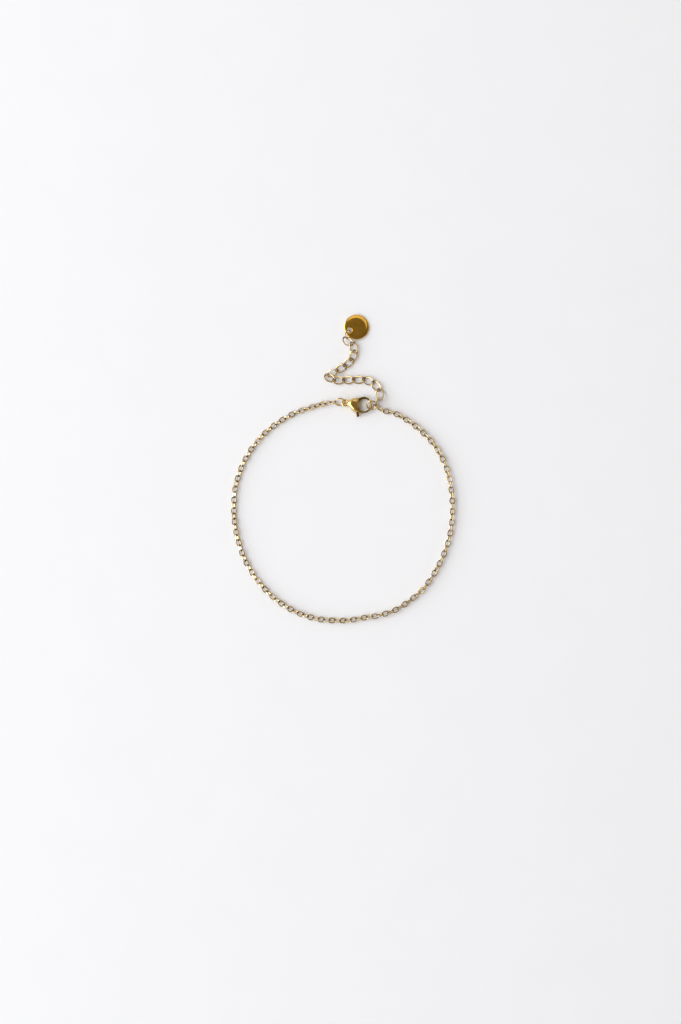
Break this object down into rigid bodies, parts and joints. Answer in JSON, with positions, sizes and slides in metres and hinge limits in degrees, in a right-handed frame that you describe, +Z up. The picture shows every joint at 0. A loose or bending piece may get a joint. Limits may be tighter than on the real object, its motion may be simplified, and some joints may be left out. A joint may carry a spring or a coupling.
{
  "type": "chain anklet",
  "caption": "Fine cable-chain anklet with a lobster clasp, jump rings and an adjustable extender chain of twisted open links ending in a small round bare tag.",
  "frame": {"origin": "on the plane the anklet lies on, under the middle of its box", "axes": "+Z up out of the plane it lies on, +Y from the ankle loop towards the extender's tag, +X towards the claw of the clasp"},
  "size_m": [0.072, 0.0988, 0.0028],
  "materials": {
    "chain": "polished champagne-gold plating on fine wire",
    "rings": "polished gold plating on round wire",
    "clasp": "polished gold plating on cast metal",
    "tag": "mirror-polished gold plating"
  },
  "bodies": {
    "anklet": {"main_chain": "chain", "chain_end_link_right": "chain", "chain_end_link_left": "chain", "eye_jump_ring": "rings", "claw_jump_ring": "rings", "extender_joining_ring": "chain", "extender_link_01": "chain", "extender_link_02": "chain", "extender_link_03": "chain", "extender_link_04": "chain", "extender_link_05": "chain", "extender_link_06": "chain", "extender_link_07": "chain", "extender_link_08": "chain", "extender_link_09": "chain", "extender_link_10": "chain", "extender_link_11": "chain", "extender_link_12": "chain", "extender_link_13": "chain", "tag_disc": "tag", "tag_ring": "rings", "clasp_body": "clasp", "lever_pin": "clasp"},
    "lever": {"clasp_lever": "clasp"}
  },
  "joints": [
    {"name": "clasp_lever_hinge", "type": "hinge", "parent": "anklet", "child": "lever", "pos_m": [0.00466, 0.02158, 0.00104], "axis": [0, 0, -1], "range_deg": [0, 20], "stiffness_Nm_per_rad": 0.002, "springref_deg": -11.46}
  ]
}
